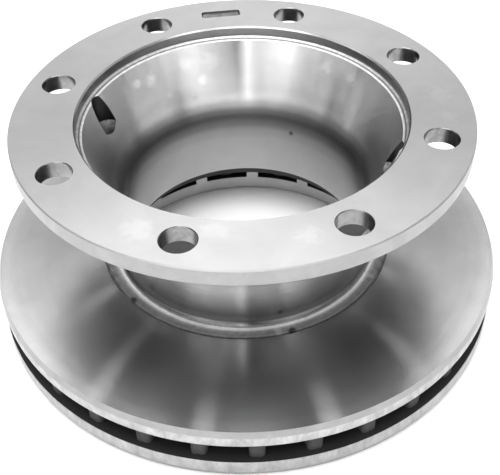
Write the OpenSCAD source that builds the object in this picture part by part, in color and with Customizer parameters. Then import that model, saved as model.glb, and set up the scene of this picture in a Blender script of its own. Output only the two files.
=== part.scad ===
// Ventilated brake disc cast in one piece with its neck and bolting flange.
// The spin axis is Z. Height 0 is the free braking face, and the flange is on top.

/* [Friction ring] */
// Outer diameter of the friction ring
ring_d = 377; // [370:0.5:384]
// Thickness of the friction ring from one braking face to the other
ring_t = 45; // [43:0.5:48]
// Thickness of the free plate, which only the ribs hold
free_plate_t = 14.8; // [13:0.1:16]
// Thickness of the plate that grows out of the neck
neck_plate_t = 12.7; // [11:0.1:14]
// Radius of the bore through the free plate
free_bore_r = 108; // [104:0.5:110]
// Chamfer at the foot of that bore
free_bore_chamfer = 4.5; // [1:0.1:7]
// Height of the turned relief along the outer edge of each braking face
edge_relief_h = 4.6; // [2:0.1:8]
// Depth of that relief, measured towards the axis
edge_relief_w = 1.8; // [0.5:0.1:3]

/* [Cooling ribs] */
// Number of ribs in each of the two rows
rib_count = 30; // [24:1:32]
// Width of the ribs of the inner row
inner_rib_w = 9.8; // [7:0.1:12]
// Width of the ribs of the outer row
outer_rib_w = 10.9; // [8:0.1:13]
// Radius of the rounded rib ends
rib_end_r = 3; // [1:0.1:3.4]
// Radius at which the outer row ends, inside the rim of the ring
outer_rib_end = 184.3; // [170:0.1:184.5]
// Radius at which the outer row starts
outer_rib_start = 150; // [146:0.5:160]
// Radius at which the inner row ends
inner_rib_end = 144; // [130:0.5:146]
// Distance from the bore to the ends of every second rib, which the lathe never meets
short_rib_gap = 4; // [2:0.5:15]
// Direction of the first rib of the inner row, seen from above
inner_rib_angle = 2; // [0:0.5:12]
// Direction of the first rib of the outer row
outer_rib_angle = 7.1; // [0:0.1:12]

/* [Flange] */
// Height of the whole disc
disc_h = 159; // [154:0.5:170]
// Outer diameter of the bolting flange
flange_d = 320; // [314:0.5:330]
// Thickness of the flange
flange_t = 12; // [10:0.1:15]
// Chamfer round the rim of the flange
flange_chamfer = 0.8; // [0.3:0.1:2]
// Number of bolt holes
bolt_count = 8; // [5:1:12]
// Diameter of the circle that the bolt holes lie on
bolt_circle_d = 275; // [270:0.5:282]
// Diameter of a bolt hole
bolt_hole_d = 23.3; // [16:0.1:26]
// Chamfer at both ends of a bolt hole
bolt_hole_chamfer = 0.5; // [0.2:0.1:1.5]
// Direction of the first bolt hole
bolt_angle = 28.26; // [0:0.01:45]
// Length of the shallow pocket in the flange face
pocket_len = 32; // [20:0.5:40]
// Width of the pocket
pocket_w = 11; // [6:0.1:14]
// Radius of the pocket's rounded corners
pocket_corner_r = 2.6; // [0.5:0.1:2.9]
// Depth of the pocket
pocket_depth = 1.2; // [0.4:0.1:3]
// Direction of the middle of the pocket
pocket_angle = 96.1; // [88:0.1:103]

/* [Register] */
// Diameter of the register, which centres the disc on the hub
register_d = 230; // [229:0.1:234]
// Depth of the register below the flange face
register_depth = 7.6; // [5:0.1:9]
// Chamfer at the mouth of the register
register_chamfer = 1.1; // [0.4:0.1:2]
// Width of the bevel at the bottom of the register
bevel_w = 1.7; // [0.8:0.1:2.2]
// Height of that bevel
bevel_h = 1.6; // [0.6:0.1:3]
// Width of the sloping ledge between the bevel and the neck's bore
ledge_w = 2; // [1:0.1:4]
// Drop of the ledge from its outer to its inner edge
ledge_drop = 0.8; // [0.2:0.1:2]

/* [Neck bore] */
// Radius of the bore's throat where its line meets the line of the cone above it
throat_r = 88.5; // [87:0.1:91]
// Height at which those two lines meet
throat_top_z = 96.6; // [92:0.1:102]
// Large rounding from the cone into the throat
throat_fillet = 80; // [30:1:100]
// Radius of the sharp lip at the foot of the throat
lip_r = 86.5; // [84:0.1:88]
// Height of the lip
lip_z = 41.3; // [39:0.1:44]
// Radius of the inner edge of the neck plate, below the lip
plate_bore_r = 92.5; // [90:0.1:94]

/* [Neck outside] */
// Outer radius of the neck under the flange
neck_top_r = 120.5; // [119:0.1:123]
// Rounding between the neck and the flange
flange_fillet = 5; // [2:0.5:7]
// Outer radius of the neck where its cone starts
neck_bend_r = 118.5; // [117:0.1:121]
// Height at which the cone starts
neck_bend_z = 126; // [122:0.5:130]
// Rounding at the start of the cone
neck_bend_fillet = 20; // [5:1:30]
// Outer radius of the neck's plain wall below the cone
neck_wall_r = 95.5; // [95:0.1:98]
// Height at which the cone's line meets the plain wall
neck_cone_foot_z = 86; // [80:0.5:92]
// Rounding from the cone into the plain wall
neck_cone_fillet = 40; // [10:1:60]
// Rounding between the plain wall and the bead at its foot
foot_fillet = 5; // [2:0.1:5]
// Radius of the sharp turned bead round the foot of the neck
bead_r = 101.3; // [100.5:0.1:103]
// Width of the slope that rises to the bead
bead_slope_w = 0.6; // [0.3:0.1:1]
// Depth of the bead below the braking face
bead_depth = 0.4; // [0.1:0.1:0.6]
// Depth of the foot of the neck's wall and of the land round the bead
land_depth = 1; // [0.7:0.1:2]
// Radius of the outer edge of that land, where the turned groove starts
groove_inner_r = 107; // [105:0.1:107.5]
// Radius of the inner edge of the braking face, outside the groove
groove_r = 109.2; // [108.5:0.1:112]
// Depth of the groove below the braking face
groove_depth = 3.3; // [2.2:0.1:4]

/* [Drilled pockets] */
// Number of blind holes drilled down into the neck's wall, open towards the bore
drill_count = 2; // [1:1:4]
// Diameter of the drill
drill_d = 19.2; // [12:0.1:24]
// Gap between a hole's wall and the bevel of the register
drill_gap = 0.2; // [0.1:0.1:2]
// Depth of a hole's straight wall below the flange face
drill_depth = 32.5; // [25:0.1:36]
// Full angle of the drill's point
drill_point_angle = 118; // [90:1:140]
// Direction of the first hole
drill_angle = 162.8; // [150:0.1:170]

/* [Hidden] */
$fn = 180;

// Facets of the rounded corners of ribs and pocket
end_fn = 32;
// Facets of a drilled pocket
drill_fn = 64;
// Largest turn between two points of a rounded corner, in degrees
arc_step = 9;
// Fewest steps in a rounded corner
min_arc_steps = 3;
// Amount by which a cut runs past the face that it opens
cut_past = 1;
// Depth to which the ribs are rooted in both plates
rib_root = 2;

// Heights and radii that follow from the driving dimensions
ring_r = ring_d / 2;
flange_r = flange_d / 2;
flange_under_z = disc_h - flange_t;
register_r = register_d / 2;
register_foot_z = disc_h - register_depth;
ledge_outer_r = register_r - bevel_w;
ledge_outer_z = register_foot_z - bevel_h;
ledge_inner_r = ledge_outer_r - ledge_w;
ledge_inner_z = ledge_outer_z - ledge_drop;
plate_under_z = ring_t - neck_plate_t;
land_z = ring_t - land_depth;
groove_z = ring_t - groove_depth;
drill_circle_r = ledge_outer_r - drill_gap - drill_d / 2;
rib_pitch = 360 / rib_count;

// Outlines with rounded corners. A corner is [radius, height, rounding].
function unit(v) = v / norm(v);
function rounded_corner(before, corner, after, r) =
    let (
        to_before = unit(before - corner),
        to_after = unit(after - corner),
        half_angle = acos(to_before * to_after) / 2,
        centre = corner + unit(to_before + to_after) * r / sin(half_angle),
        first = corner + to_before * r / tan(half_angle) - centre,
        last = corner + to_after * r / tan(half_angle) - centre,
        turn = 180 - 2 * half_angle,
        side = sign(first.x * last.y - first.y * last.x),
        steps = max(min_arc_steps, ceil(turn / arc_step))
    )
    [for (i = [0:steps])
        let (a = side * turn * i / steps)
        centre + [first.x * cos(a) - first.y * sin(a), first.x * sin(a) + first.y * cos(a)]];
function place(corner) = [corner[0], corner[1]];
function rounded_outline(corners) =
    let (n = len(corners))
    [for (i = [0:n - 1])
        each corners[i][2] > 0
            ? rounded_corner(place(corners[(i + n - 1) % n]), place(corners[i]),
                             place(corners[(i + 1) % n]), corners[i][2])
            : [place(corners[i])]];

// Half section of the flange, neck and neck plate, as one turned casting
function bore_side() = [
    [plate_bore_r, plate_under_z, 0],
    [lip_r, lip_z, 0],
    [throat_r, throat_top_z, throat_fillet],
    [ledge_inner_r, ledge_inner_z, 0],
    [ledge_outer_r, ledge_outer_z, 0],
    [register_r, register_foot_z, 0],
    [register_r, disc_h - register_chamfer, 0],
    [register_r + register_chamfer, disc_h, 0]
];
function flange_side() = [
    [flange_r - flange_chamfer, disc_h, 0],
    [flange_r, disc_h - flange_chamfer, 0],
    [flange_r, flange_under_z + flange_chamfer, 0],
    [flange_r - flange_chamfer, flange_under_z, 0]
];
function neck_outside() = [
    [neck_top_r, flange_under_z, flange_fillet],
    [neck_bend_r, neck_bend_z, neck_bend_fillet],
    [neck_wall_r, neck_cone_foot_z, neck_cone_fillet],
    [neck_wall_r, land_z, foot_fillet],
    [bead_r - bead_slope_w, land_z, 0],
    [bead_r, ring_t - bead_depth, 0]
];
function plate_side() = [
    [groove_inner_r, land_z, 0],
    [groove_inner_r, groove_z, 0],
    [groove_r, groove_z, 0],
    [groove_r, ring_t, 0],
    [ring_r - edge_relief_w, ring_t, 0],
    [ring_r, ring_t - edge_relief_h, 0],
    [ring_r, plate_under_z, 0]
];

module neck_side() {
    rotate_extrude()
        polygon(rounded_outline(concat(bore_side(), flange_side(), neck_outside(), plate_side())));
}

// Free plate of the friction ring
module free_plate() {
    rotate_extrude()
        polygon([
            [free_bore_r + free_bore_chamfer, 0],
            [ring_r - edge_relief_w, 0],
            [ring_r, edge_relief_h],
            [ring_r, free_plate_t],
            [free_bore_r, free_plate_t],
            [free_bore_r, free_bore_chamfer]
        ]);
}

// Flat bar along X with rounded corners
module rounded_bar(start, end, w, r) {
    union() {
        translate([start + r, -w / 2])
            square([end - start - 2 * r, w]);
        translate([start, r - w / 2])
            square([end - start, w - 2 * r]);
        for (x = [start + r, end - r], side = [-1, 1])
            translate([x, side * (w / 2 - r)])
                circle(r, $fn = end_fn);
    }
}

// One rib between the plates, lying along X
module rib(start, end, w) {
    translate([0, 0, free_plate_t - rib_root])
        linear_extrude(plate_under_z - free_plate_t + 2 * rib_root)
            rounded_bar(start, end, w, rib_end_r);
}

// Two rows of ribs. Every second rib of the inner row reaches the bore.
module ribs() {
    for (i = [0:rib_count - 1]) {
        reaches_bore = i % 2 == 1;
        start = reaches_bore ? free_bore_r - 2 * rib_end_r : free_bore_r + short_rib_gap;
        rotate(inner_rib_angle + i * rib_pitch)
            rib(start, inner_rib_end, inner_rib_w);
        rotate(outer_rib_angle + i * rib_pitch)
            rib(outer_rib_start, outer_rib_end, outer_rib_w);
    }
}

// The lathe's cut through the free plate, which also ends the long ribs
module free_bore() {
    translate([0, 0, -cut_past])
        cylinder(h = plate_under_z + cut_past, r = free_bore_r);
}

// Bolt hole with a chamfer at both ends
module bolt_hole() {
    r = bolt_hole_d / 2;
    translate([0, 0, flange_under_z - cut_past])
        cylinder(h = flange_t + 2 * cut_past, r = r);
    for (end = [[disc_h, 0], [flange_under_z, 180]])
        translate([0, 0, end[0]])
            rotate([end[1], 0, 0])
                translate([0, 0, -bolt_hole_chamfer])
                    cylinder(h = bolt_hole_chamfer + cut_past, r1 = r,
                             r2 = r + bolt_hole_chamfer + cut_past);
}

module bolt_holes() {
    for (i = [0:bolt_count - 1])
        rotate(bolt_angle + i * 360 / bolt_count)
            translate([bolt_circle_d / 2, 0, 0])
                bolt_hole();
}

// Shallow pocket with rounded corners, square to its radius
module face_pocket() {
    rotate(pocket_angle)
        translate([bolt_circle_d / 2, 0, disc_h - pocket_depth])
            rotate(90)
                linear_extrude(pocket_depth + cut_past)
                    rounded_bar(-pocket_len / 2, pocket_len / 2, pocket_w, pocket_corner_r);
}

// Drill cut with its conical point, from above the flange down into the neck's wall
module drilled_pocket() {
    r = drill_d / 2;
    point_h = r / tan(drill_point_angle / 2);
    translate([drill_circle_r, 0, disc_h - drill_depth - point_h])
        rotate_extrude($fn = drill_fn)
            polygon([
                [0, 0],
                [r, point_h],
                [r, point_h + drill_depth + cut_past],
                [0, point_h + drill_depth + cut_past]
            ]);
}

module drilled_pockets() {
    for (i = [0:drill_count - 1])
        rotate(drill_angle + i * 360 / drill_count)
            drilled_pocket();
}

module brake_disc() {
    color("silver")
        difference() {
            union() {
                neck_side();
                difference() {
                    union() {
                        free_plate();
                        ribs();
                    }
                    free_bore();
                }
            }
            bolt_holes();
            face_pocket();
            drilled_pockets();
        }
}

brake_disc();
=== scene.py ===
"""Dresses a ventilated brake disc: one turned iron casting on a pale studio floor.

The disc is modelled the way it is made. A casting is turned from its half section, ribs join its two
plates, and the bolt holes, the flange's pocket and the neck's blind holes are cut last. Each cut brings
its own finish.
"""

import logging
import math
from dataclasses import dataclass
from enum import Enum

import bmesh
import bpy
from bpy.types import Material, Node, NodeOutputs, NodeSocket, NodeTree, Object
from mathutils import Matrix, Vector


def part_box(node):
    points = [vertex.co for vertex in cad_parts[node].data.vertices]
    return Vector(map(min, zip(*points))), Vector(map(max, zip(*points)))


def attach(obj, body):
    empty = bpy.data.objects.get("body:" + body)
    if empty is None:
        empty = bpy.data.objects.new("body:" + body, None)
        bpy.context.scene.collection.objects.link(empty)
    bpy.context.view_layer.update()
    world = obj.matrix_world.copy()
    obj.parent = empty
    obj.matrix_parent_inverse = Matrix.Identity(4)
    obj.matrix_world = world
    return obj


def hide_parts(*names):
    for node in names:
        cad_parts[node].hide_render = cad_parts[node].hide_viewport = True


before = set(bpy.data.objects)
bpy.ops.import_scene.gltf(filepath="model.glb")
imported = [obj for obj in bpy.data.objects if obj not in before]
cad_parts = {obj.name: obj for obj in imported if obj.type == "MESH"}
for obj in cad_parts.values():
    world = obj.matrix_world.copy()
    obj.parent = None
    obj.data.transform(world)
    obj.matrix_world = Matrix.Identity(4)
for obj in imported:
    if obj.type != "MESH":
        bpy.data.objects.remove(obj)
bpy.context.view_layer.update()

LOG = logging.getLogger("brake_disc")
MM = 0.001
NODE = "brake_disc"
BODY = "root"
WELD = 1e-6
"""Distance in metres within which the points of a turned shape become one."""
RING_DIGITS = 5
"""Digits that tell one turned ring of faces from the next."""
LEVEL = 0.9
"""Upright share of the normal above which a face lies level."""
ACROSS_GROOVES = 0.25
"""Turn that draws a highlight out across the turning grooves."""
WHITEST = 0.95
"""The palest grey that a finish reaches."""


class Finish(Enum):
    """The finishes of the disc, in the order of its material slots."""

    BRAKING_FACE = 0
    FLANGE_FACE = 1
    TURNED_WALL = 2
    NECK_BORE = 3
    RIM = 4
    EDGE = 5
    AS_CAST = 6
    RIB = 7
    DRILLED = 8
    POCKET_WALL = 9
    LEDGE = 10
    NECK_WALL = 11
    FOOT = 12
    SHADED_NECK = 13
    CHAMFER = 14
    DRILL_POINT = 15


class Work(Enum):
    """What a tool solid does to a body."""

    ADD = "UNION"
    CUT = "DIFFERENCE"


Finishes = dict[Finish, Material]


@dataclass(frozen=True)
class Corner:
    """One corner of a turned outline, in millimetres.

    Args:
        radius: Distance from the spin axis.
        height: Height above the free braking face.
        rounding: Radius of the rounded corner, or 0 for a sharp one.
    """

    radius: float
    height: float
    rounding: float = 0.0

    @property
    def at(self) -> Vector:
        """The corner as a plane vector."""
        return Vector((self.radius, self.height))


Sides = list[tuple[Finish, list[Corner]]]


def rounded_corner(before: Vector, corner: Corner, after: Vector, arc_step: float = 6.0) -> list[Vector]:
    """Works out the points of one rounded corner.

    Args:
        before: The corner that comes before.
        corner: The corner to round.
        after: The corner that comes next.
        arc_step: The largest turn between two points, in degrees.

    Returns:
        The arc's points from the first tangent point to the last.
    """
    back = (before - corner.at).normalized()
    ahead = (after - corner.at).normalized()
    half_angle = back.angle(ahead) / 2
    centre = corner.at + (back + ahead).normalized() * corner.rounding / math.sin(half_angle)
    reach = corner.rounding / math.tan(half_angle)
    first = corner.at + back * reach - centre
    last = corner.at + ahead * reach - centre
    turn = math.pi - 2 * half_angle
    side = math.copysign(1.0, first.x * last.y - first.y * last.x)
    steps = max(2, math.ceil(math.degrees(turn) / arc_step))
    points = []
    for i in range(steps + 1):
        angle = side * turn * i / steps
        points.append(centre + Vector((first.x * math.cos(angle) - first.y * math.sin(angle),
                                       first.x * math.sin(angle) + first.y * math.cos(angle))))
    return points


def rounded_outline(corners: list[Corner]) -> list[Vector]:
    """Rounds the corners of a closed outline.

    Args:
        corners: The outline's corners in order.

    Returns:
        The outline's points, in millimetres.
    """
    points: list[Vector] = []
    for i, corner in enumerate(corners):
        if corner.rounding > 0:
            points += rounded_corner(corners[i - 1].at, corner, corners[(i + 1) % len(corners)].at)
        else:
            points.append(corner.at)
    return points


def select_only(*objects: Object) -> None:
    """Selects just these objects and makes the first one active.

    Args:
        objects: The objects to select.
    """
    if bpy.context.object and bpy.context.object.mode != "OBJECT":
        bpy.ops.object.mode_set(mode="OBJECT")
    bpy.ops.object.select_all(action="DESELECT")
    for obj in objects:
        obj.select_set(True)
    bpy.context.view_layer.objects.active = objects[0]


def drawn_wire(name: str, points: list[Vector]) -> Object:
    """Draws a closed wire by extruding one vertex from point to point.

    Args:
        name: Name of the new object.
        points: The wire's points in space, in metres.

    Returns:
        The wire, left in edit mode with everything selected.
    """
    bpy.ops.object.select_all(action="DESELECT")
    bpy.ops.mesh.primitive_plane_add(size=MM, location=(0, 0, 0))
    wire = bpy.context.object
    wire.name = wire.data.name = name
    bpy.ops.object.mode_set(mode="EDIT")
    bpy.ops.mesh.select_mode(type="VERT")
    bpy.ops.mesh.select_all(action="SELECT")
    bpy.ops.mesh.merge(type="CENTER")
    bpy.ops.transform.translate(value=points[0])
    for start, end in zip(points, points[1:]):
        bpy.ops.mesh.extrude_vertices_move(TRANSFORM_OT_translate={"value": end - start})
    shape = bmesh.from_edit_mesh(wire.data)
    for vert in shape.verts:
        vert.select = len(vert.link_edges) < 2
    shape.select_flush_mode()
    bmesh.update_edit_mesh(wire.data)
    bpy.ops.mesh.edge_face_add()
    bpy.ops.mesh.select_all(action="SELECT")
    return wire


def turned(name: str, outline: list[Vector], steps: int) -> Object:
    """Turns a closed half section round the Z axis.

    Args:
        name: Name of the new object.
        outline: The section's points as (radius, height), in millimetres.
        steps: Number of steps round the axis.

    Returns:
        The turned solid, in object mode.
    """
    solid = drawn_wire(name, [Vector((p.x * MM, 0, p.y * MM)) for p in outline])
    bpy.ops.mesh.spin(steps=steps, angle=math.tau, center=(0, 0, 0), axis=(0, 0, 1))
    bpy.ops.mesh.select_all(action="SELECT")
    bpy.ops.mesh.remove_doubles(threshold=WELD)
    bpy.ops.mesh.select_all(action="SELECT")
    bpy.ops.mesh.normals_make_consistent(inside=False)
    bpy.ops.object.mode_set(mode="OBJECT")
    return solid


def prism(name: str, outline: list[Vector], depth: Vector, taper: tuple[float, float]) -> Object:
    """Fills a flat outline and extrudes it.

    Args:
        name: Name of the new object.
        outline: The outline's points in space, in metres.
        depth: The way and length of the extrusion, in metres.
        taper: How far the far end is scaled along X and along Y.

    Returns:
        The closed prism, in object mode.
    """
    solid = drawn_wire(name, outline)
    bpy.ops.mesh.edge_face_add()
    bpy.ops.mesh.extrude_region_move(TRANSFORM_OT_translate={"value": depth})
    bpy.ops.transform.resize(value=(*taper, 1))
    bpy.ops.mesh.select_all(action="SELECT")
    bpy.ops.mesh.normals_make_consistent(inside=False)
    bpy.ops.object.mode_set(mode="OBJECT")
    return solid


def turned_copy(piece: Object, angle: float) -> Object:
    """Copies a piece with its own mesh and turns the copy about the spin axis.

    Args:
        piece: The piece to copy.
        angle: The angle of the turn, in degrees.

    Returns:
        The copy, whose place is in its mesh.
    """
    select_only(piece)
    bpy.ops.object.duplicate(linked=False)
    copy = bpy.context.object
    copy.data.transform(Matrix.Rotation(math.radians(angle), 4, "Z"))
    return copy


def joined(name: str, pieces: list[Object]) -> Object:
    """Joins pieces that don't touch each other into one object.

    Args:
        name: Name of the joined object.
        pieces: The pieces to join.

    Returns:
        The joined object.
    """
    select_only(*pieces)
    bpy.ops.object.join()
    whole = bpy.context.object
    whole.name = whole.data.name = name
    return whole


def delete(*objects: Object) -> None:
    """Deletes these objects."""
    select_only(*objects)
    bpy.ops.object.delete()


def even_angles(first: float, count: int) -> list[float]:
    """Lists evenly spaced angles about the spin axis, in degrees."""
    return [first + 360 * i / count for i in range(count)]


def copies_round(name: str, pattern: Object, radius: float, angles: list[float]) -> Object:
    """Moves a pattern out from the spin axis, copies it round and joins the copies.

    Args:
        name: Name of the joined object.
        pattern: The solid to copy, which is deleted.
        radius: How far out it moves along X, in millimetres.
        angles: The angle of each copy, in degrees.

    Returns:
        The joined copies.
    """
    pattern.data.transform(Matrix.Translation((radius * MM, 0, 0)))
    copies = [turned_copy(pattern, angle) for angle in angles]
    delete(pattern)
    return joined(name, copies)


def combine(body: Object, tool: Object, work: Work) -> None:
    """Adds a tool solid to a body or cuts it away, and deletes the tool.

    Args:
        body: The solid that is kept.
        tool: The solid that is added or cut away.
        work: Whether it is added or cut away.
    """
    select_only(body)
    cut = body.modifiers.new("cut", "BOOLEAN")
    cut.operation = work.value
    cut.solver = "MANIFOLD"
    cut.object = tool
    bpy.ops.object.modifier_apply(modifier=cut.name)
    delete(tool)


def wear_finishes(solid: Object, finishes: Finishes, one: Finish | None = None) -> None:
    """Gives a solid the slots of every finish, in the order of the enumeration.

    Args:
        solid: The solid.
        finishes: The material of each finish.
        one: The finish of all its faces, or None to leave the faces as they are.
    """
    for finish in Finish:
        solid.data.materials.append(finishes[finish])
    if one:
        for face in solid.data.polygons:
            face.material_index = one.value


def distance_to_stretch(point: Vector, start: Vector, end: Vector) -> float:
    """Measures how far a point lies from a straight stretch.

    Args:
        point: The point.
        start: Start of the stretch.
        end: End of the stretch.

    Returns:
        The distance.
    """
    along = end - start
    share = max(0.0, min(1.0, (point - start).dot(along) / along.length_squared))
    return (start + along * share - point).length


def paint_stretches(solid: Object, sides: Sides) -> None:
    """Gives every turned face the finish of the stretch of outline that lies nearest.

    Args:
        solid: The turned solid.
        sides: The outline's runs of corners with their finishes.
    """
    corners = [(finish, corner.at * MM) for finish, run in sides for corner in run]
    ends = [start for _, start in corners[1:] + corners[:1]]
    stretches = [(finish, start, end) for (finish, start), end in zip(corners, ends)]
    known: dict[tuple[float, float], int] = {}
    for face in solid.data.polygons:
        centre = Vector((math.hypot(face.center.x, face.center.y), face.center.z))
        key = (round(centre.x, RING_DIGITS), round(centre.y, RING_DIGITS))
        if key not in known:
            nearest = min(stretches, key=lambda stretch: distance_to_stretch(centre, *stretch[1:]))
            known[key] = nearest[0].value
        face.material_index = known[key]


def turned_body(name: str, sides: Sides, steps: int, finishes: Finishes) -> Object:
    """Turns a body from its half section and gives each stretch of it its finish.

    Args:
        name: Name of the new object.
        sides: The outline's runs of corners with their finishes.
        steps: Number of steps round the axis.
        finishes: The material of each finish.

    Returns:
        The turned solid.
    """
    solid = turned(name, rounded_outline([corner for _, run in sides for corner in run]), steps)
    wear_finishes(solid, finishes)
    paint_stretches(solid, sides)
    return solid


@dataclass
class TurnedCasting:
    """The flange, the neck and the plate below it, turned from one half section.

    Every size is in millimetres. Heights count from the free braking face.
    """

    ring_r: float
    disc_h: float
    ring_t: float = 45.0
    neck_plate_t: float = 12.7
    relief_w: float = 1.8
    relief_h: float = 4.6
    flange_r: float = 160.0
    flange_t: float = 12.0
    flange_chamfer: float = 0.8
    register_r: float = 115.0
    register_depth: float = 7.6
    register_chamfer: float = 1.1
    bevel_w: float = 1.7
    bevel_h: float = 1.6
    ledge_w: float = 2.0
    ledge_drop: float = 0.8
    throat_r: float = 88.5
    throat_top_z: float = 96.6
    throat_fillet: float = 80.0
    lip_r: float = 86.5
    lip_z: float = 41.3
    plate_bore_r: float = 92.5
    neck_top_r: float = 120.5
    neck_bend_r: float = 118.5
    neck_bend_z: float = 126.0
    neck_bend_fillet: float = 20.0
    flange_fillet: float = 5.0
    neck_wall_r: float = 95.5
    neck_cone_foot_z: float = 86.0
    neck_cone_fillet: float = 40.0
    foot_fillet: float = 5.0
    bead_r: float = 101.3
    bead_slope_w: float = 0.6
    bead_depth: float = 0.4
    bead_rounding: float = 0.25
    land_depth: float = 1.0
    groove_inner_r: float = 107.0
    groove_r: float = 109.2
    groove_depth: float = 3.3
    edge_break: float = 0.3
    steps: int = 288

    @property
    def plate_under_z(self) -> float:
        """Height of the neck plate's cast underside."""
        return self.ring_t - self.neck_plate_t

    @property
    def flange_under_z(self) -> float:
        """Height of the flange's underside."""
        return self.disc_h - self.flange_t

    @property
    def ledge_outer_r(self) -> float:
        """Radius at which the register's bevel meets the ledge."""
        return self.register_r - self.bevel_w

    @property
    def ledge_top_z(self) -> float:
        """Height at which the register's bevel meets the ledge."""
        return self.disc_h - self.register_depth - self.bevel_h

    def sides(self) -> Sides:
        """Lists the outline's corners in runs.

        Returns:
            Pairs of a finish and the corners that it starts from.
        """
        face_r = self.ring_r - self.relief_w
        groove_z = self.ring_t - self.groove_depth
        land_z = self.ring_t - self.land_depth
        return [
            (Finish.AS_CAST, [Corner(self.plate_bore_r, self.plate_under_z)]),
            (Finish.NECK_BORE, [
                Corner(self.lip_r, self.lip_z),
                Corner(self.throat_r, self.throat_top_z, self.throat_fillet)]),
            (Finish.LEDGE, [
                Corner(self.ledge_outer_r - self.ledge_w, self.ledge_top_z - self.ledge_drop),
                Corner(self.ledge_outer_r, self.ledge_top_z)]),
            (Finish.TURNED_WALL, [
                Corner(self.register_r, self.disc_h - self.register_depth),
                Corner(self.register_r, self.disc_h - self.register_chamfer)]),
            (Finish.FLANGE_FACE, [
                Corner(self.register_r + self.register_chamfer, self.disc_h)]),
            (Finish.CHAMFER, [Corner(self.flange_r - self.flange_chamfer, self.disc_h)]),
            (Finish.EDGE, [
                Corner(self.flange_r, self.disc_h - self.flange_chamfer),
                Corner(self.flange_r, self.flange_under_z + self.flange_chamfer)]),
            (Finish.TURNED_WALL, [
                Corner(self.flange_r - self.flange_chamfer, self.flange_under_z)]),
            (Finish.SHADED_NECK, [
                Corner(self.neck_top_r, self.flange_under_z, self.flange_fillet),
                Corner(self.neck_bend_r, self.neck_bend_z, self.neck_bend_fillet)]),
            (Finish.NECK_WALL, [
                Corner(self.neck_wall_r, self.neck_cone_foot_z, self.neck_cone_fillet)]),
            (Finish.FOOT, [
                Corner(self.neck_wall_r, land_z, self.foot_fillet),
                Corner(self.bead_r - self.bead_slope_w, land_z),
                Corner(self.bead_r, self.ring_t - self.bead_depth, self.bead_rounding),
                Corner(self.groove_inner_r, land_z),
                Corner(self.groove_inner_r, groove_z),
                Corner(self.groove_r, groove_z)]),
            (Finish.BRAKING_FACE, [
                Corner(self.groove_r, self.ring_t - self.edge_break),
                Corner(self.groove_r + self.edge_break, self.ring_t)]),
            (Finish.EDGE, [Corner(face_r, self.ring_t)]),
            (Finish.RIM, [
                Corner(self.ring_r, self.ring_t - self.relief_h),
                Corner(self.ring_r, self.plate_under_z + self.edge_break)]),
            (Finish.AS_CAST, [Corner(self.ring_r - self.edge_break, self.plate_under_z)]),
        ]

    def build(self, finishes: Finishes) -> Object:
        """Turns the casting."""
        return turned_body("neck_side", self.sides(), self.steps, finishes)


@dataclass
class FreePlate:
    """The plate that only the ribs hold, in millimetres."""

    ring_r: float
    thickness: float = 14.8
    bore_r: float = 108.0
    bore_chamfer: float = 4.5
    relief_w: float = 1.8
    relief_h: float = 4.6
    edge_break: float = 0.3
    steps: int = 288

    def sides(self) -> Sides:
        """Lists the outline's corners in runs.

        Returns:
            Pairs of a finish and the corners that it starts from.
        """
        return [
            (Finish.BRAKING_FACE, [Corner(self.bore_r + self.bore_chamfer, 0)]),
            (Finish.EDGE, [Corner(self.ring_r - self.relief_w, 0)]),
            (Finish.RIM, [
                Corner(self.ring_r, self.relief_h),
                Corner(self.ring_r, self.thickness - self.edge_break)]),
            (Finish.AS_CAST, [Corner(self.ring_r - self.edge_break, self.thickness)]),
            (Finish.TURNED_WALL, [
                Corner(self.bore_r, self.thickness),
                Corner(self.bore_r, self.bore_chamfer)]),
        ]

    def build(self, finishes: Finishes) -> Object:
        """Turns the plate."""
        return turned_body("free_plate", self.sides(), self.steps, finishes)


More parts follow.
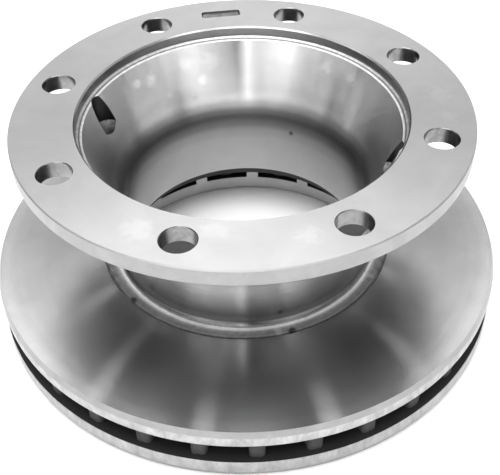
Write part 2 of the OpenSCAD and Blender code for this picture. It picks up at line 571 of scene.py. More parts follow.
@dataclass
class RibRows:
    """The two rows of ribs between the plates, in millimetres and degrees."""

    floor_z: float
    roof_z: float
    bore_r: float
    count: int = 30
    outer_width: float = 10.9
    inner_width: float = 9.8
    end_rounding: float = 3.0
    outer_end: float = 184.3
    outer_start: float = 150.0
    inner_end: float = 144.0
    short_gap: float = 4.0
    inner_angle: float = 2.0
    outer_angle: float = 7.1
    root: float = 2.0
    corner_segments: int = 4

    def rib(self, name: str, start: float, end: float, width: float) -> Object:
        """Models one rib along X, with rounded upright edges.

        Args:
            name: Name of the rib.
            start: Radius of its inner end.
            end: Radius of its outer end.
            width: Width of the rib.

        Returns:
            The rib, in object mode.
        """
        low = self.floor_z - self.root
        high = self.roof_z + self.root
        bpy.ops.object.select_all(action="DESELECT")
        bpy.ops.mesh.primitive_cube_add(size=1, location=(0, 0, 0))
        rib = bpy.context.object
        rib.name = rib.data.name = name
        bpy.ops.object.mode_set(mode="EDIT")
        bpy.ops.mesh.select_all(action="SELECT")
        bpy.ops.transform.resize(value=((end - start) * MM, width * MM, (high - low) * MM))
        bpy.ops.transform.translate(value=((start + end) / 2 * MM, 0, (low + high) / 2 * MM))
        bpy.ops.mesh.select_mode(type="EDGE")
        shape = bmesh.from_edit_mesh(rib.data)
        for edge in shape.edges:
            one, other = (v.co for v in edge.verts)
            edge.select = abs(one.z - other.z) > MM
        bmesh.update_edit_mesh(rib.data)
        bpy.ops.mesh.bevel(offset=self.end_rounding * MM, segments=self.corner_segments)
        bpy.ops.object.mode_set(mode="OBJECT")
        return rib

    def build(self, finishes: Finishes) -> Object:
        """Models one rib of each kind and copies it round the ring.

        Args:
            finishes: The material of each finish.

        Returns:
            All ribs, joined into one object.
        """
        outer = self.rib("outer_rib", self.outer_start, self.outer_end, self.outer_width)
        short = self.rib("short_rib", self.bore_r + self.short_gap, self.inner_end, self.inner_width)
        long = self.rib("long_rib", self.bore_r - 2 * self.end_rounding, self.inner_end, self.inner_width)
        for pattern in (outer, short, long):
            wear_finishes(pattern, finishes, Finish.RIB)
        copies = []
        for i, turn in enumerate(even_angles(0.0, self.count)):
            copies.append(turned_copy(outer, self.outer_angle + turn))
            copies.append(turned_copy(long if i % 2 else short, self.inner_angle + turn))
        delete(outer, short, long)
        return joined("ribs", copies)


@dataclass
class BoltHoles:
    """The drilled holes of the flange, in millimetres and degrees."""

    top_z: float
    foot_z: float
    circle_r: float = 137.5
    hole_r: float = 11.65
    chamfer: float = 0.5
    count: int = 8
    first_angle: float = 28.26
    overrun: float = 1.0
    steps: int = 72

    def build(self, finishes: Finishes) -> Object:
        """Models the drill's cut once, chamfers included, and copies it round the flange.

        Args:
            finishes: The material of each finish.

        Returns:
            All cuts, joined into one object.
        """
        wide = self.hole_r + self.chamfer + self.overrun
        outline = [
            Vector((0, self.foot_z - self.overrun)),
            Vector((wide, self.foot_z - self.overrun)),
            Vector((self.hole_r, self.foot_z + self.chamfer)),
            Vector((self.hole_r, self.top_z - self.chamfer)),
            Vector((wide, self.top_z + self.overrun)),
            Vector((0, self.top_z + self.overrun))]
        drill = turned("drill", outline, self.steps)
        wear_finishes(drill, finishes, Finish.DRILLED)
        return copies_round("drill_cuts", drill, self.circle_r, even_angles(self.first_angle, self.count))


@dataclass
class FacePocket:
    """The shallow pocket milled into the flange face, in millimetres and degrees."""

    face_z: float
    circle_r: float = 137.5
    length: float = 32.0
    width: float = 11.0
    corner_r: float = 2.6
    depth: float = 1.2
    wall_slope_w: float = 0.9
    middle_angle: float = 96.1
    overrun: float = 1.0
    arc_points: int = 6

    def outline(self) -> list[Vector]:
        """Draws the pocket's edge, a rectangle with rounded corners that lies square to its radius.

        Returns:
            The edge's points, in millimetres.
        """
        reach = Vector((self.width / 2 - self.corner_r, self.length / 2 - self.corner_r))
        points = []
        for quarter, side in enumerate(((1, 1), (-1, 1), (-1, -1), (1, -1))):
            centre = Vector((self.circle_r + side[0] * reach.x, side[1] * reach.y))
            for i in range(self.arc_points + 1):
                angle = math.pi / 2 * (quarter + i / self.arc_points)
                points.append(centre + Vector((math.cos(angle), math.sin(angle))) * self.corner_r)
        return points

    def build(self, finishes: Finishes) -> Object:
        """Models the milling cutter's sweep as a prism that leaves a smooth floor and walls darkened as
        painted shade.

        Args:
            finishes: The material of each finish.

        Returns:
            The cutting solid.
        """
        high = (self.face_z + self.overrun) * MM
        drop = Vector((0, 0, -(self.depth + self.overrun) * MM))
        narrowing = 2 * self.wall_slope_w * (1 + self.overrun / self.depth)
        taper = tuple((width - narrowing) / width for width in (self.width, self.length))
        edge = [Vector((point.x * MM, point.y * MM, high)) for point in self.outline()]
        cutter = prism("pocket_cut", edge, drop, taper)
        cutter.data.transform(Matrix.Rotation(math.radians(self.middle_angle), 4, "Z"))
        wear_finishes(cutter, finishes, Finish.POCKET_WALL)
        for face in cutter.data.polygons:
            if abs(face.normal.z) > LEVEL:
                face.material_index = Finish.DRILLED.value
        return cutter


@dataclass
class NeckPockets:
    """The blind holes drilled straight down into the neck's wall, in millimetres and degrees."""

    face_z: float
    outer_r: float
    hole_r: float = 9.6
    depth: float = 32.5
    point_angle: float = 118.0
    count: int = 2
    first_angle: float = 162.8
    overrun: float = 1.0
    steps: int = 72

    def build(self, finishes: Finishes) -> Object:
        """Models the drill's cut once, point included, and copies it round the neck.

        Args:
            finishes: The material of each finish.

        Returns:
            All cuts, joined into one object.
        """
        shoulder_z = self.face_z - self.depth
        point_z = shoulder_z - self.hole_r / math.tan(math.radians(self.point_angle / 2))
        outline = [
            Vector((0, point_z)),
            Vector((self.hole_r, shoulder_z)),
            Vector((self.hole_r, self.face_z + self.overrun)),
            Vector((0, self.face_z + self.overrun))]
        drill = turned("pocket_drill", outline, self.steps)
        # The hole's walls and point take dark finishes that paint the shade inside it.
        wear_finishes(drill, finishes, Finish.POCKET_WALL)
        for face in drill.data.polygons:
            if face.center.z < shoulder_z * MM:
                face.material_index = Finish.DRILL_POINT.value
        angles = even_angles(self.first_angle, self.count)
        return copies_round("pocket_cuts", drill, self.outer_r - self.hole_r, angles)


class NodeInk:
    """Places and links shader nodes in one tree."""

    def __init__(self, tree: NodeTree) -> None:
        """Keeps the tree.

        Args:
            tree: The material's or group's node tree.
        """
        self.tree = tree

    def add(self, kind: str, **settings: object) -> Node:
        """Adds a node, sets its properties and, by name or number, its inputs.

        Args:
            kind: The node's type.
            settings: Properties of the node. The key inputs holds a dictionary of socket values or links.

        Returns:
            The new node.
        """
        node = self.tree.nodes.new(kind)
        inputs = settings.pop("inputs", {})
        for key, value in settings.items():
            setattr(node, key, value)
        for key, value in inputs.items():
            if isinstance(value, NodeSocket):
                self.tree.links.new(value, node.inputs[key])
            else:
                node.inputs[key].default_value = value
        return node

    def link(self, value: NodeSocket, target: NodeSocket) -> None:
        """Links a value to an input."""
        self.tree.links.new(value, target)

    def group(self, tree: NodeTree, inputs: dict[str, object]) -> NodeOutputs:
        """Adds a shared group and gives its outputs."""
        return self.add("ShaderNodeGroup", node_tree=tree, inputs=inputs).outputs

    def math(self, operation: str, *values: object) -> NodeSocket:
        """Adds a calculation on numbers or sockets and gives its result."""
        return self.add("ShaderNodeMath", operation=operation, inputs=dict(enumerate(values))).outputs[0]

    def mixed(self, one: NodeSocket, other: NodeSocket, share: float) -> NodeSocket:
        """Adds up a share of one value and the rest of the other."""
        return self.math("ADD", self.math("MULTIPLY", one, share), self.math("MULTIPLY", other, 1 - share))

    def ramp(self, value: NodeSocket, low: float, high: float, from_low: float = 0.0,
             from_high: float = 1.0) -> NodeSocket:
        """Maps a value to a new range and clamps it.

        Args:
            value: The value's socket.
            low: Result at the lower end.
            high: Result at the upper end.
            from_low: Lower end of the value's range.
            from_high: Upper end of the value's range.

        Returns:
            The result's socket.
        """
        ends = {"From Min": from_low, "From Max": from_high, "To Min": low, "To Max": high}
        return self.add("ShaderNodeMapRange", inputs={"Value": value, **ends}).outputs[0]

    def swing(self, tone: NodeSocket, contrast: float) -> NodeSocket:
        """Turns a tone from 0 to 1 into a factor round 1."""
        return self.ramp(tone, 1 - contrast, 1 + contrast)

    def noise(self, place: NodeSocket, scale: NodeSocket, detail: float, roughness: float,
              distortion: float = 0.0) -> NodeSocket:
        """Adds a noise in space.

        Args:
            place: The place on the disc.
            scale: Lumps per metre.
            detail: Number of finer layers.
            roughness: How strong each finer layer is beside the one before.
            distortion: How far the lumps are pulled out of shape.

        Returns:
            The noise's socket.
        """
        return self.add("ShaderNodeTexNoise", noise_dimensions="3D", inputs={
            "Vector": place, "Scale": scale, "Detail": detail, "Roughness": roughness,
            "Distortion": distortion}).outputs[0]


class EffectInk(NodeInk):
    """Builds one shared node group with named inputs and outputs."""

    def __init__(self, name: str, takes: dict[str, str], gives: tuple[str, ...]) -> None:
        """Starts the group.

        Args:
            name: The group's name.
            takes: Kinds of its inputs by name, such as Float.
            gives: Names of its outputs, which are numbers.
        """
        super().__init__(bpy.data.node_groups.new(name, "ShaderNodeTree"))
        for label, kind in takes.items():
            self.tree.interface.new_socket(label, in_out="INPUT", socket_type="NodeSocket" + kind)
        for label in gives:
            self.tree.interface.new_socket(label, in_out="OUTPUT", socket_type="NodeSocketFloat")
        self.taken = self.tree.nodes.new("NodeGroupInput").outputs
        self.given = self.tree.nodes.new("NodeGroupOutput").inputs


def lathe_marks_group(height_share: float = 0.73, coarse_share: float = 0.22) -> NodeTree:
    """Builds the rings that a turning tool leaves.

    Args:
        height_share: How fast the rings follow one another along the height, beside the radius.
        coarse_share: Number of coarse rings for each fine one.

    Returns:
        A group with Place, Rings per metre and Seed in, and Tone out.
    """
    ink = EffectInk("lathe_marks", {
        "Place": "Vector", "Rings per metre": "Float", "Seed": "Float"}, ("Tone",))
    x, y, z = ink.add("ShaderNodeSeparateXYZ", inputs={0: ink.taken["Place"]}).outputs
    radius = ink.math("SQRT", ink.math("ADD", ink.math("MULTIPLY", x, x), ink.math("MULTIPLY", y, y)))
    travel = ink.math("ADD", radius, ink.math("MULTIPLY", z, height_share))
    fine = ink.math("ADD", ink.math("MULTIPLY", travel, ink.taken["Rings per metre"]), ink.taken["Seed"])
    coarse = ink.math("MULTIPLY", fine, coarse_share)
    fine_rings, coarse_rings = (
        ink.add("ShaderNodeTexNoise", noise_dimensions="1D", inputs={
            "W": rings, "Scale": 1.0, "Detail": detail, "Roughness": roughness}).outputs[0]
        for rings, detail, roughness in ((fine, 3.0, 0.6), (coarse, 2.0, 0.5)))
    ink.link(ink.mixed(fine_rings, coarse_rings, share=0.5), ink.given["Tone"])
    return ink.tree


def handling_group(pitted_from: float = 0.8, pit_reach: float = 0.16, pit_edge: float = 0.03,
                   smudge_low: float = 0.3, smudge_high: float = 0.7) -> NodeTree:
    """Builds soft smudges and a few small pits.

    Args:
        pitted_from: Share of the cells that stay without a pit.
        pit_reach: Radius of the largest pit, beside its cell.
        pit_edge: Width of a pit's edge, beside its cell.
        smudge_low: Noise below which no smudge lies.
        smudge_high: Noise above which a smudge is full.

    Returns:
        A group with Place, two pitches and the smudges' height share in, and Smudge and Pits out.
    """
    ink = EffectInk("handling_marks", {
        "Place": "Vector", "Smudges per metre": "Float", "Height share": "Float", "Pits per metre": "Float"},
        ("Smudge", "Pits"))
    place = ink.taken["Place"]
    stretch = ink.add("ShaderNodeCombineXYZ", inputs={0: 1.0, 1: 1.0, 2: ink.taken["Height share"]})
    spread = ink.add("ShaderNodeVectorMath", operation="MULTIPLY", inputs={0: place, 1: stretch.outputs[0]})
    smudge = ink.noise(spread.outputs[0], ink.taken["Smudges per metre"], detail=5.0, roughness=0.6,
                       distortion=0.4)
    cells = ink.add("ShaderNodeTexVoronoi", feature="F1", inputs={
        "Vector": place, "Scale": ink.taken["Pits per metre"], "Randomness": 1.0})
    chosen = ink.add("ShaderNodeSeparateColor", inputs={0: cells.outputs["Color"]}).outputs[0]
    reach = ink.ramp(chosen, 0.0, pit_reach, pitted_from, 1.0)
    pits = ink.ramp(ink.math("SUBTRACT", reach, cells.outputs["Distance"]), 0.0, 1.0, 0.0, pit_edge)
    ink.link(ink.ramp(smudge, 0.0, 1.0, smudge_low, smudge_high), ink.given["Smudge"])
    ink.link(pits, ink.given["Pits"])
    return ink.tree


def stain_and_painted_light_group(flakes: float = 2.2, full_within: float = 0.45) -> NodeTree:
    """Builds one ragged patch round a point, for stains and for painted light and shade.

    Args:
        flakes: Flakes of the edge along the patch's radius.
        full_within: Share of the radius within which the patch is full.

    Returns:
        A group with Place, Middle, Radius and Raggedness in, and Mask out.
    """
    ink = EffectInk("painted_light_and_stain", {
        "Place": "Vector", "Middle": "Vector", "Radius": "Float", "Raggedness": "Float"}, ("Mask",))
    place, radius = ink.taken["Place"], ink.taken["Radius"]
    away = ink.add("ShaderNodeVectorMath", operation="DISTANCE", inputs={
        0: place, 1: ink.taken["Middle"]}).outputs["Value"]
    edge = ink.noise(place, ink.math("DIVIDE", flakes, radius), detail=4.0, roughness=0.6)
    ragged = ink.math("MULTIPLY", ink.math("SUBTRACT", edge, 0.5), ink.taken["Raggedness"])
    share = ink.math("ADD", ink.math("DIVIDE", away, radius), ragged)
    ink.link(ink.ramp(share, 1.0, 0.0, full_within, 1.0), ink.given["Mask"])
    return ink.tree


def cast_skin_group(patch_share: float = 0.15, grain_share: float = 0.6) -> NodeTree:
    """Builds the grain of a sand casting.

    Args:
        patch_share: Number of patches along a line for each grain.
        grain_share: Share of the tone that comes from the grains.

    Returns:
        A group with Place and Grains per metre in, and Height and Tone out.
    """
    ink = EffectInk("cast_skin", {"Place": "Vector", "Grains per metre": "Float"}, ("Height", "Tone"))
    place, pitch = ink.taken["Place"], ink.taken["Grains per metre"]
    grain = ink.noise(place, pitch, detail=6.0, roughness=0.65)
    patches = ink.noise(place, ink.math("MULTIPLY", pitch, patch_share), detail=3.0, roughness=0.5)
    ink.link(grain, ink.given["Height"])
    ink.link(ink.mixed(grain, patches, grain_share), ink.given["Tone"])
    return ink.tree


@dataclass(frozen=True)
class Effects:
    """The node groups that the finishes share."""

    lathe_marks: NodeTree
    handling: NodeTree
    painted_light_and_stain: NodeTree
    cast_skin: NodeTree


class Way(Enum):
    """The way along which a finish's painted light and shade changes."""

    RADIUS = "radius"
    HEIGHT = "height"


@dataclass(frozen=True)
class PaintedLightGradient:
    """Painted light and shade: how a finish's grey changes with the place.

    Args:
        way: What the stops count along.
        stops: Pairs of a distance in millimetres and a share of the grey, in rising order.
    """

    way: Way
    stops: tuple[tuple[float, float], ...]

    def build(self, ink: NodeInk, place: NodeSocket) -> NodeSocket:
        """Builds the share's nodes.

        Args:
            ink: The material's ink.
            place: The place on the disc.

        Returns:
            The share's socket.
        """
        x, y, height = ink.add("ShaderNodeSeparateXYZ", inputs={0: place}).outputs
        distance = height
        if self.way is Way.RADIUS:
            flat = ink.add("ShaderNodeCombineXYZ", inputs={0: x, 1: y}).outputs[0]
            distance = ink.add("ShaderNodeVectorMath", operation="LENGTH", inputs={0: flat}).outputs["Value"]
        low, high = self.stops[0][0], self.stops[-1][0]
        ramp = ink.add("ShaderNodeValToRGB", inputs={0: ink.ramp(distance, 0.0, 1.0, low * MM, high * MM)})
        ramp.color_ramp.interpolation = "EASE"
        elements = ramp.color_ramp.elements
        for _ in self.stops[2:]:
            elements.new(0.5)
        for element, (at, share) in zip(elements, self.stops):
            element.position = (at - low) / (high - low)
            element.color = (share, share, share, 1)
        return ramp.outputs["Color"]


@dataclass(frozen=True)
class StainAndPaintedLight:
    """One patch of stain, painted shade or painted highlight, in millimetres and degrees.

    Args:
        azimuth: Its side of the disc.
        radius: Its distance from the spin axis.
        height: Its height above the floor.
        reach: How far it spreads.
        strength: How far it moves the grey; a dark patch's is below 0.
        raggedness: How torn its edge is.
    """

    azimuth: float
    radius: float
    height: float
    reach: float
    strength: float
    raggedness: float = 1.0

    def build(self, ink: NodeInk, place: NodeSocket, group: NodeTree) -> NodeSocket:
        """Places the patch.

        Args:
            ink: The material's ink.
            place: The place on the disc.
            group: The shared group of stains and painted light.

        Returns:
            The socket of the share that it adds to the grey.
        """
        turn = math.radians(self.azimuth)
        middle = (math.cos(turn) * self.radius * MM, math.sin(turn) * self.radius * MM, self.height * MM)
        painted_light_and_stain = ink.group(group, {
            "Place": place, "Middle": middle, "Radius": self.reach * MM, "Raggedness": self.raggedness})
        return ink.math("MULTIPLY", painted_light_and_stain["Mask"], self.strength)


@dataclass(frozen=True)
class IronFinish:
    """A bare iron surface, from bright turned to rough as cast.

    Args:
        name: The material's name.
        grey: Its grey where no mark lies.
        roughness: Its roughness.
        anisotropy: How far the turning grooves draw a highlight out across them.
        painted_light_gradient: Painted light and shade that changes the grey with the place, or None.
        stains_and_painted_light: Single patches of stain, painted shade or painted highlight.
        ring_contrast: How far the turning rings move the grey.
        rings_per_metre: Pitch of the rings.
        smudge_contrast: How far smudges move the grey.
        smudges_per_metre: Pitch of the smudges.
        smudge_height_share: Below 1, draws the smudges out along the height.
        pit_contrast: How dark the pits among the smudges are.
        pits_per_metre: Pitch of the pits.
        grain_contrast: How far the cast grain moves the grey.
        grain_depth: Depth of the cast grain, in metres.
        grains_per_metre: Pitch of the cast grain.
        metallic: How metallic the surface is.
    """

    name: str
    grey: float
    roughness: float
    anisotropy: float = 0.0
    painted_light_gradient: PaintedLightGradient | None = None
    stains_and_painted_light: tuple[StainAndPaintedLight, ...] = ()
    ring_contrast: float = 0.0
    rings_per_metre: float = 400.0
    smudge_contrast: float = 0.0
    smudges_per_metre: float = 40.0
    smudge_height_share: float = 1.0
    pit_contrast: float = 0.0
    pits_per_metre: float = 160.0
    grain_contrast: float = 0.0
    grain_depth: float = 0.0
    grains_per_metre: float = 700.0
    metallic: float = 1.0

    @property
    def seed(self) -> float:
        """Where along their pattern the finish's rings start."""
        return float(len(self.name))

    def factors(self, ink: NodeInk, place: NodeSocket, effects: Effects) -> list[NodeSocket]:
        """Builds what the painted light and shade and the marks multiply the grey by.

        Args:
            ink: The material's ink.
            place: The place on the disc.
            effects: The shared node groups.

        Returns:
            The factors' sockets.
        """
        factors = [self.painted_light_gradient.build(ink, place)] if self.painted_light_gradient else []
        if self.ring_contrast:
            rings = ink.group(effects.lathe_marks, {
                "Place": place, "Rings per metre": self.rings_per_metre, "Seed": self.seed})
            factors.append(ink.swing(rings["Tone"], self.ring_contrast))
        if self.smudge_contrast:
            marks = ink.group(effects.handling, {
                "Place": place, "Smudges per metre": self.smudges_per_metre,
                "Height share": self.smudge_height_share, "Pits per metre": self.pits_per_metre})
            factors.append(ink.swing(marks["Smudge"], self.smudge_contrast))
            if self.pit_contrast:
                factors.append(ink.ramp(marks["Pits"], 1.0, 1 - self.pit_contrast))
        return factors

    def cast_skin(self, ink: NodeInk, place: NodeSocket, group: NodeTree, shader: Node) -> NodeSocket:
        """Roughens the surface with the cast grain.

        Args:
            ink: The material's ink.
            place: The place on the disc.
            group: The shared group of the grain.
            shader: The surface's shader.

        Returns:
            The socket of the grain's factor.
        """
        grain = ink.group(group, {"Place": place, "Grains per metre": self.grains_per_metre})
        height = ink.math("MULTIPLY", grain["Height"], self.grain_depth)
        bump = ink.add("ShaderNodeBump", inputs={"Strength": 1.0, "Distance": 1.0, "Height": height})
        ink.link(bump.outputs["Normal"], shader.inputs["Normal"])
        return ink.swing(grain["Tone"], self.grain_contrast)

    def paint(self, ink: NodeInk, place: NodeSocket, effects: Effects, shader: Node) -> None:
        """Gives the surface its grey, with the painted light and shade, the marks, and the stains and painted
        light patches that it has.

        Args:
            ink: The material's ink.
            place: The place on the disc.
            effects: The shared node groups.
            shader: The surface's shader.
        """
        factors = self.factors(ink, place, effects)
        if self.grain_contrast:
            factors.append(self.cast_skin(ink, place, effects.cast_skin, shader))
        share: NodeSocket | float = factors[0] if factors else 1.0
        for factor in factors[1:]:
            share = ink.math("MULTIPLY", share, factor)
        for painted_light_and_stain in self.stains_and_painted_light:
            share = ink.math("MULTIPLY_ADD", share, painted_light_and_stain.build(ink, place, effects.painted_light_and_stain), share)
        if isinstance(share, float):
            shader.inputs["Base Color"].default_value = (self.grey, self.grey, self.grey, 1)
            return
        grey = ink.math("MINIMUM", ink.math("MULTIPLY", share, self.grey), WHITEST)
        colour = ink.add("ShaderNodeCombineColor", inputs={0: grey, 1: grey, 2: grey})
        ink.link(colour.outputs[0], shader.inputs["Base Color"])

    def build(self, effects: Effects) -> Material:
        """Builds the material.

        Args:
            effects: The shared node groups.

        Returns:
            The material.
        """
        material = bpy.data.materials.new(self.name)
        material.use_nodes = True
        ink = NodeInk(material.node_tree)
        shader = material.node_tree.nodes["Principled BSDF"]
        shader.inputs["Roughness"].default_value = self.roughness
        shader.inputs["Metallic"].default_value = self.metallic
        if self.anisotropy:
            shader.inputs["Anisotropic"].default_value = self.anisotropy
            shader.inputs["Anisotropic Rotation"].default_value = ACROSS_GROOVES
            grooves = ink.add("ShaderNodeTangent", direction_type="RADIAL", axis="Z")
            ink.link(grooves.outputs["Tangent"], shader.inputs["Tangent"])
        self.paint(ink, ink.add("ShaderNodeTexCoord").outputs["Object"], effects, shader)
        return material


IRON_FINISHES = {
    Finish.BRAKING_FACE: IronFinish(
        "braking_face", 0.3, 0.22, anisotropy=1.0, ring_contrast=0.03, smudge_contrast=0.06,
        smudges_per_metre=35.0,
        # The gradient is painted shade and painted reflection: darkest across the middle of the face, under
        # the flange's edge, and lighter towards the neck and the rim.
        painted_light_gradient=PaintedLightGradient(Way.RADIUS, ((113, 0.84), (119, 0.745), (126, 0.675), (134, 0.66), (142, 0.655),
                                       (150, 0.68), (158, 0.73), (166, 0.77), (174, 0.84), (184, 1.0)))),
    Finish.FLANGE_FACE: IronFinish(
        "flange_face", 0.34, 0.42, anisotropy=0.5, smudge_contrast=0.06, smudges_per_metre=28.0,
        stains_and_painted_light=(StainAndPaintedLight(242, 137, 159, 12, 0.1, 2.0), StainAndPaintedLight(286, 136, 159, 9, 0.09, 2.0),
                StainAndPaintedLight(262, 126, 159, 11, 0.07, 2.0), StainAndPaintedLight(5, 140, 159, 11, 0.08, 2.2),
                StainAndPaintedLight(354, 141, 159, 8, 0.08, 2.2))),
    Finish.TURNED_WALL: IronFinish(
        "turned_wall", 0.39, 0.26, anisotropy=0.9, smudge_contrast=0.1,
        stains_and_painted_light=(StainAndPaintedLight(-6, 115, 151, 5, -0.6, 1.5),)),
    Finish.NECK_BORE: IronFinish(
        "neck_bore", 0.88, 0.24, anisotropy=0.95, ring_contrast=0.03, smudge_contrast=0.08,
        smudges_per_metre=30.0,
        # The gradient is painted shade and painted reflection: darkest in a band round the throat, lighter
        # below it and lightest up the cone.
        painted_light_gradient=PaintedLightGradient(Way.HEIGHT, ((41, 0.375), (59, 0.37), (71, 0.38), (79, 0.335), (87, 0.23),
                                       (93, 0.165), (97, 0.27), (103, 0.56), (108, 0.78), (115, 0.72),
                                       (123, 0.77), (131, 0.77), (139, 0.81), (145.5, 0.81))),
        stains_and_painted_light=(StainAndPaintedLight(138.2, 106.4, 137.5, 4.5, 0.3, 1.8), StainAndPaintedLight(131.4, 105.2, 135.0, 6.0, 0.28, 1.8),
                StainAndPaintedLight(125.0, 98.5, 120.0, 2.0, 0.2), StainAndPaintedLight(107.4, 100.2, 124.0, 5.0, 0.16, 1.8),
                StainAndPaintedLight(102.6, 106.2, 137.0, 8.0, 0.12, 2.0), StainAndPaintedLight(114.0, 106.4, 137.0, 7.0, 0.12, 2.0),
                StainAndPaintedLight(52.0, 107.4, 139.5, 7.0, 0.14, 2.0), StainAndPaintedLight(38.3, 107.4, 139.5, 6.0, 0.16, 2.0),
                StainAndPaintedLight(112.6, 95.4, 112.5, 1.4, -0.3), StainAndPaintedLight(110.1, 89.1, 86.2, 1.2, -0.5),
                StainAndPaintedLight(63.5, 88.7, 81.5, 2.6, -0.7, 1.6))),
    Finish.RIM: IronFinish(
        "turned_rim", 0.46, 0.42, anisotropy=0.3, smudge_contrast=0.25, smudges_per_metre=170.0,
        smudge_height_share=0.4, pit_contrast=0.7),
    Finish.EDGE: IronFinish(
        "turned_edge", 0.355, 0.42, anisotropy=0.3, smudge_contrast=0.1, smudges_per_metre=60.0),
    Finish.AS_CAST: IronFinish(
        "as_cast_iron", 0.011, 0.8, grain_contrast=0.6, grain_depth=0.0006, metallic=0.0),
    Finish.RIB: IronFinish(
        "cast_rib", 0.065, 0.72, grain_contrast=0.8, grain_depth=0.0008, metallic=0.35),
    Finish.CHAMFER: IronFinish("turned_chamfer", 0.45, 0.5),
    Finish.DRILLED: IronFinish("drilled_wall", 0.24, 0.24, smudge_contrast=0.3, smudges_per_metre=150.0),
    # The next two finishes paint shade: the blind holes' points and the walls of the holes and the pocket are
    # darkened nearly to black.
    Finish.DRILL_POINT: IronFinish("drill_point", 0.09, 0.4, smudge_contrast=0.6, smudges_per_metre=300.0),
    Finish.POCKET_WALL: IronFinish("pocket_wall", 0.05, 0.4),
    Finish.LEDGE: IronFinish(
        "register_ledge", 0.5, 0.5, smudge_contrast=0.3, smudges_per_metre=400.0,
        # The gradient paints a thin line of shade in the corner where the ledge meets the register's bevel.
        painted_light_gradient=PaintedLightGradient(Way.RADIUS, ((111.0, 1.0), (112.5, 1.0), (113.0, 0.3), (113.5, 0.3),
                                       (114.0, 1.0)))),
    Finish.NECK_WALL: IronFinish(
        "neck_wall", 0.93, 0.26, anisotropy=0.9, smudge_contrast=0.1,
        # The gradient is painted shade and painted reflection: the wall darkens down towards its foot, where
        # it mirrors the dark braking face. Its patches are three small dark spots.
        painted_light_gradient=PaintedLightGradient(Way.HEIGHT, ((46, 0.24), (53, 0.27), (59, 0.46), (64, 0.6), (69, 0.72),
                                       (73, 0.85), (79, 0.98))),
        stains_and_painted_light=(StainAndPaintedLight(283.5, 95.5, 53.5, 2.2, -0.6, 1.2), StainAndPaintedLight(225, 95.5, 56, 4.0, -0.4, 1.5),
                StainAndPaintedLight(267, 95.5, 68.5, 0.7, -0.5))),
    Finish.SHADED_NECK: IronFinish(
        "shaded_neck", 0.07, 0.55, grain_contrast=0.4, grain_depth=0.0003, metallic=0.5),
    Finish.FOOT: IronFinish(
        "neck_foot", 0.95, 0.32, anisotropy=0.6, metallic=0.25, smudge_contrast=0.25, smudges_per_metre=250.0,
        # The gradient is a painted highlight round the bead with painted shade on either side; the ten
        # patches are painted shade and painted highlights that stand in for reflections on the land and the
        # groove.
        painted_light_gradient=PaintedLightGradient(Way.RADIUS, ((97.5, 0.2), (98.2, 0.3), (98.8, 1.0), (100.8, 1.0), (101.6, 0.5),
                                       (103, 0.27), (105, 0.22), (107, 0.28), (109, 0.2))),
        stains_and_painted_light=(StainAndPaintedLight(219.5, 106.5, 44.5, 3.6, -0.9, 1.2), StainAndPaintedLight(286.5, 106.5, 44.5, 3.8, -0.9, 1.2),
                StainAndPaintedLight(281.5, 104.5, 44.5, 3.5, 0.6, 1.5), StainAndPaintedLight(331, 104, 44.5, 3.0, 0.5, 1.5),
                *(StainAndPaintedLight(side, 111, 44.5, 7, -0.5, 0.6) for side in (197, 203, 209, 336, 342, 348)))),
}


def build_finishes() -> Finishes:
    """Builds every finish's material.

    Returns:
        The material of each finish.
    """
    effects = Effects(lathe_marks_group(), handling_group(), stain_and_painted_light_group(), cast_skin_group())
    return {finish: iron.build(effects) for finish, iron in IRON_FINISHES.items()}


@dataclass
class BrakeDisc:
    """The whole disc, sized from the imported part."""

    ring_r: float
    disc_h: float
    pocket_gap: float = 0.2
    overrun: float = 1.0
    smooth_angle: float = 24.0

    def build(self, finishes: Finishes) -> Object:
        """Turns, ribs, drills and mills the disc.

        Args:
            finishes: The material of each finish.

        Returns:
            The finished disc.
        """
        neck_side = TurnedCasting(self.ring_r, self.disc_h)
        plate = FreePlate(self.ring_r)
        disc = neck_side.build(finishes)
        lower = plate.build(finishes)
        ribs = RibRows(plate.thickness, neck_side.plate_under_z, plate.bore_r).build(finishes)
        combine(ribs, self.boring_cut(plate, neck_side, finishes), Work.CUT)
        combine(disc, ribs, Work.ADD)
        combine(disc, lower, Work.ADD)
        combine(disc, BoltHoles(self.disc_h, neck_side.flange_under_z).build(finishes), Work.CUT)
        combine(disc, FacePocket(self.disc_h).build(finishes), Work.CUT)
        pockets = NeckPockets(self.disc_h, neck_side.ledge_outer_r - self.pocket_gap)
        combine(disc, pockets.build(finishes), Work.CUT)
        disc.name = disc.data.name = "turned_disc"
        select_only(disc)
        bpy.ops.object.shade_smooth_by_angle(angle=math.radians(self.smooth_angle))
        return disc

    def boring_cut(self, plate: FreePlate, neck_side: TurnedCasting, finishes: Finishes) -> Object:
        """Models the boring tool's sweep, which ends the long ribs flush with the free plate's bore.

        Args:
            plate: The free plate.
            neck_side: The casting above the ribs.
            finishes: The material of each finish.

        Returns:
            The cutting solid.
        """
        low, high = -self.overrun, neck_side.ring_t
        outline = [Vector((0, low)), Vector((plate.bore_r, low)),
                   Vector((plate.bore_r, high)), Vector((0, high))]
        cut = turned("boring_cut", outline, plate.steps)
        wear_finishes(cut, finishes, Finish.TURNED_WALL)
        return cut


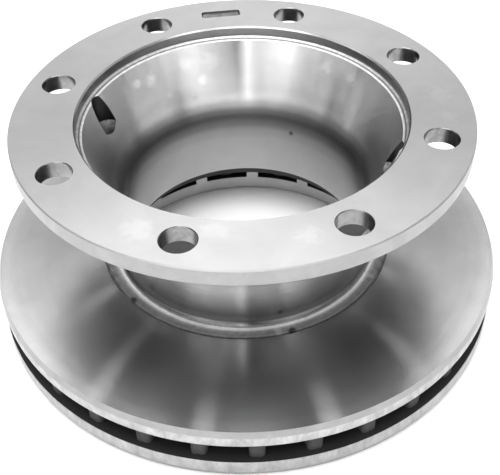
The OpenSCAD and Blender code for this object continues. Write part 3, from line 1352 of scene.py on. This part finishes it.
@dataclass(frozen=True)
class LightBand:
    """Soft boxes that hang side by side in one band round the disc, in degrees.

    Args:
        name: The band's name.
        low: Elevation of the boxes' lower edge.
        high: Elevation of their upper edge.
        width: Azimuth that one box spans.
        first: Azimuth of the first box's middle.
        brightness: How bright each box is, in turn, beside a white sheet's 1.
    """

    name: str
    low: float
    high: float
    width: float
    first: float
    brightness: tuple[float, ...]

    def build(self, target: Vector, distance: float) -> None:
        """Hangs the band's lit boxes, each facing the disc.

        Args:
            target: The point that the boxes face.
            distance: How far from it they hang, in metres.
        """
        low, high = math.radians(self.low), math.radians(self.high)
        height = 2 * distance * math.tan((high - low) / 2)
        area = math.radians(self.width) * (math.sin(high) - math.sin(low)) * distance ** 2
        for i, brightness in enumerate(self.brightness):
            if not brightness:
                continue
            azimuth = self.first + i * self.width
            lamp = bpy.data.lights.new(f"{self.name}_{i + 1}", "AREA")
            lamp.shape = "RECTANGLE"
            lamp.size = area / height
            lamp.size_y = height
            lamp.energy = math.pi * area * brightness
            light = bpy.data.objects.new(lamp.name, lamp)
            bpy.context.scene.collection.objects.link(light)
            way = Matrix.Rotation(math.radians(azimuth), 3, "Z") @ Vector((1, 0, math.tan((low + high) / 2)))
            light.location = target + way.normalized() * distance
            light.rotation_euler = (-way).to_track_quat("-Z", "Y").to_euler()
            light.visible_camera = False


@dataclass
class Studio:
    """Floor, lights, sky and camera, in metres and degrees."""

    target: Vector
    camera_place: tuple[float, float, float] = (0.0, -0.53175, 0.52010)
    camera_yaw: float = 0.368
    camera_pitch: float = 42.068
    camera_roll: float = -1.442
    focal_pixels: float = 921.3
    frame_pixels: float = 500.0
    sensor_mm: float = 36.0
    nearest_seen: float = 0.01
    farthest_seen: float = 100.0
    floor_size: float = 12.0
    floor_grey: float = 0.92
    floor_roughness: float = 0.9
    light_distance: float = 10.0
    bands: tuple[LightBand, ...] = (
        LightBand("left_low_box", 2, 20, 10, 185, (0.65, 0.8, 0.94, 1.36)),
        LightBand("front_low_box", 2, 20, 5, 222.5, (
            1.47, 1.87, 2.74, 2.5, 1.92, 1.83, 1.68, 1.31, 0.71, 0.7,
            0.01, 0.6, 0.93, 1.12, 1.42, 1.81, 2.27, 2.18, 2.0, 1.67)),
        LightBand("right_low_box", 2, 20, 10, 325, (1.69, 1.17, 0.89, 0.67)),
        LightBand("back_low_box", 2, 20, 60, 30, (0.53, 0.0, 0.22)),
        LightBand("left_middle_box", 20, 40, 15, 187.5, (0.19,)),
        LightBand("front_middle_box", 20, 40, 5, 232.5, (
            0.08, 0.39, 0.52, 0.51, 0.0, 0.23, 1.33, 0.62, 0.0,
            0.11, 0.22, 0.58, 0.65, 0.44, 0.11, 0.24, 0.17)),
        LightBand("right_middle_box", 20, 40, 15, 322.5, (0.19, 0.0, 0.21)),
        LightBand("front_strip", 22, 58, 3, 264.5, (3.6,)),
        LightBand("back_middle_box", 20, 40, 60, 30, (0.72, 1.04, 0.3)),
        LightBand("high_box", 40, 60, 30, 15, (
            0.71, 2.56, 3.17, 3.67, 2.83, 3.0, 0.94, 2.95, 2.5, 0.55, 1.73, 0.47)),
        LightBand("top_box", 60, 75, 60, 30, (2.57, 5.28, 4.99, 5.28, 6.2, 5.09)),
        LightBand("overhead_box", 75, 90, 90, 0, (3.49, 4.86, 3.79, 4.08)),
    )

    def build_camera(self) -> None:
        """Places the camera where the photograph was taken from."""
        yaw, pitch, roll = (math.radians(a) for a in (self.camera_yaw, self.camera_pitch, self.camera_roll))
        ahead = Vector((math.sin(yaw) * math.cos(pitch), math.cos(yaw) * math.cos(pitch), -math.sin(pitch)))
        level_right = Vector((math.cos(yaw), -math.sin(yaw), 0))
        level_up = level_right.cross(ahead)
        right = math.cos(roll) * level_right + math.sin(roll) * level_up
        up = -math.sin(roll) * level_right + math.cos(roll) * level_up
        lens = bpy.data.cameras.new("camera")
        lens.sensor_fit = "HORIZONTAL"
        lens.sensor_width = self.sensor_mm
        lens.lens = self.focal_pixels / self.frame_pixels * self.sensor_mm
        lens.clip_start = self.nearest_seen
        lens.clip_end = self.farthest_seen
        camera = bpy.data.objects.new("camera", lens)
        bpy.context.scene.collection.objects.link(camera)
        turn = Matrix((right, up, -ahead)).transposed().to_4x4()
        camera.matrix_world = Matrix.Translation(self.camera_place) @ turn
        bpy.context.scene.camera = camera

    def build_floor(self) -> None:
        """Lays the plain pale floor."""
        bpy.ops.object.select_all(action="DESELECT")
        bpy.ops.mesh.primitive_plane_add(size=self.floor_size, location=(0, 0, 0))
        floor = bpy.context.object
        floor.name = floor.data.name = "studio_floor"
        paper = bpy.data.materials.new("pale_floor")
        paper.use_nodes = True
        shader = paper.node_tree.nodes["Principled BSDF"]
        shader.inputs["Base Color"].default_value = (self.floor_grey, self.floor_grey, self.floor_grey, 1)
        shader.inputs["Roughness"].default_value = self.floor_roughness
        floor.data.materials.append(paper)

    def build_backdrop(self) -> None:
        """Hangs a pale backdrop that the camera sees and that lights nothing."""
        world = bpy.data.worlds.new("pale_room")
        bpy.context.scene.world = world
        world.use_nodes = True
        ink = NodeInk(world.node_tree)
        seen = ink.add("ShaderNodeLightPath").outputs["Is Camera Ray"]
        backdrop = world.node_tree.nodes["Background"]
        backdrop.inputs["Color"].default_value = (1, 1, 1, 1)
        ink.link(seen, backdrop.inputs["Strength"])

    def build(self) -> None:
        """Builds the whole studio."""
        self.build_camera()
        self.build_floor()
        self.build_backdrop()
        for band in self.bands:
            band.build(self.target, self.light_distance)
        bpy.context.scene.view_settings.view_transform = "Standard"


def main() -> None:
    """Builds the disc and its studio and says how each piece sits."""
    logging.basicConfig(level=logging.INFO, format="%(name)s: %(message)s")
    low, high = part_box(NODE)
    ring_r = (high.x - low.x) / 2 / MM
    disc_h = high.z / MM
    studio = Studio(Vector((0, 0, high.z / 2)))
    studio.build()
    disc = BrakeDisc(round(ring_r, 1), round(disc_h, 1)).build(build_finishes())
    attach(disc, BODY)
    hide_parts(NODE)
    LOG.info("%s: %d faces, %.1f mm across, %.1f mm high", disc.name, len(disc.data.polygons),
             disc.dimensions.x / MM, disc.dimensions.z / MM)


if __name__ == "__main__":
    main()
